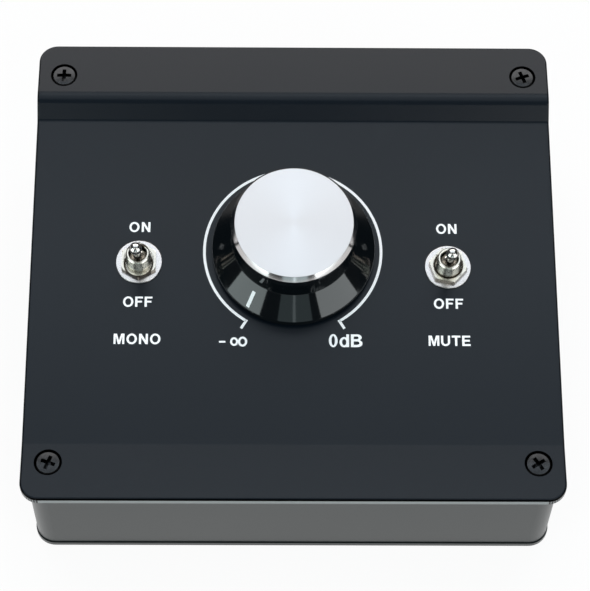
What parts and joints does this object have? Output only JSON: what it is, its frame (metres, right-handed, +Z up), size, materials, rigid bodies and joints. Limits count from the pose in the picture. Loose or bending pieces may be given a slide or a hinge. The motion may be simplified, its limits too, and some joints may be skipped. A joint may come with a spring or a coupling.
{
  "type": "studio monitor controller",
  "caption": "Desktop passive monitor controller: folded sloping top, big volume knob, mono and mute toggle switches, four round rear sockets.",
  "frame": {"origin": "middle of the footprint, on the plane that the rubber feet stand on", "axes": "+Z up, front faces -Y, +X to the right seen from the front"},
  "size_m": [0.14, 0.1306, 0.0621],
  "materials": {
    "cover_paint": "satin black powder coat",
    "wall_paint": "satin dark grey",
    "black_screw": "black zinc",
    "rubber": "matt",
    "knob_plastic": "gloss black",
    "spun_aluminium": "fine spun face, polished bevel",
    "pointer_white": "white",
    "bright_nickel": "bright nickel plate",
    "zinc": "zinc plate",
    "contact_metal": "tinned",
    "socket_plastic": "black moulded",
    "switch_plastic": "red moulded",
    "board_laminate": "green solder resist",
    "resistor_lacquer": "pale blue lacquer",
    "header_plastic": "cream nylon",
    "loom_sleeve": "black sleeve"
  },
  "bodies": {
    "case": {"base_cover": "wall_paint", "base_screws": "black_screw", "board_screws": "zinc", "board_standoffs": "zinc", "box_shell": "wall_paint", "cover_screws": "black_screw", "input_core_left": "socket_plastic", "input_core_right": "socket_plastic", "input_shell_left": "socket_plastic", "input_shell_right": "socket_plastic", "main_board": "board_laminate", "mono_bushing": "bright_nickel", "mono_loom": "loom_sleeve", "mono_lugs": "contact_metal", "mono_nut": "bright_nickel", "mono_pivot_pin": "bright_nickel", "mono_switch_body": "switch_plastic", "mono_washer": "bright_nickel", "mute_bushing": "bright_nickel", "mute_loom": "loom_sleeve", "mute_lugs": "contact_metal", "mute_nut": "bright_nickel", "mute_pivot_pin": "bright_nickel", "mute_switch_body": "switch_plastic", "mute_washer": "bright_nickel", "output_insulator_left": "socket_plastic", "output_insulator_right": "socket_plastic", "output_pins_left": "contact_metal", "output_pins_right": "contact_metal", "output_shell_left": "socket_plastic", "output_shell_right": "socket_plastic", "pot_bushing": "zinc", "pot_can": "zinc", "pot_loom": "loom_sleeve", "pot_nut": "zinc", "pot_terminals": "contact_metal", "pot_washer": "zinc", "resistors": "resistor_lacquer", "rubber_feet": "rubber", "socket_legs": "contact_metal", "socket_screws": "black_screw", "top_cover": "cover_paint", "wire_headers": "header_plastic"},
    "knob": {"knob_body": "knob_plastic", "knob_cap": "spun_aluminium", "knob_pointer": "pointer_white", "pot_shaft": "zinc"},
    "mono_toggle": {"mono_lever": "bright_nickel"},
    "mute_toggle": {"mute_lever": "bright_nickel"}
  },
  "joints": [
    {"name": "volume_turn", "type": "hinge", "parent": "case", "child": "knob", "pos_m": [0, 0.00444, 0.04191], "axis": [0, 0.1066, -0.9943], "range_deg": [0, 295]},
    {"name": "mono_throw", "type": "hinge", "parent": "case", "child": "mono_toggle", "pos_m": [-0.0411, 0.00058, 0.04512], "axis": [-1, 0, 0], "range_deg": [0, 26]},
    {"name": "mute_throw", "type": "hinge", "parent": "case", "child": "mute_toggle", "pos_m": [0.0411, -0.00062, 0.04499], "axis": [-1, 0, 0], "range_deg": [0, 26]}
  ]
}
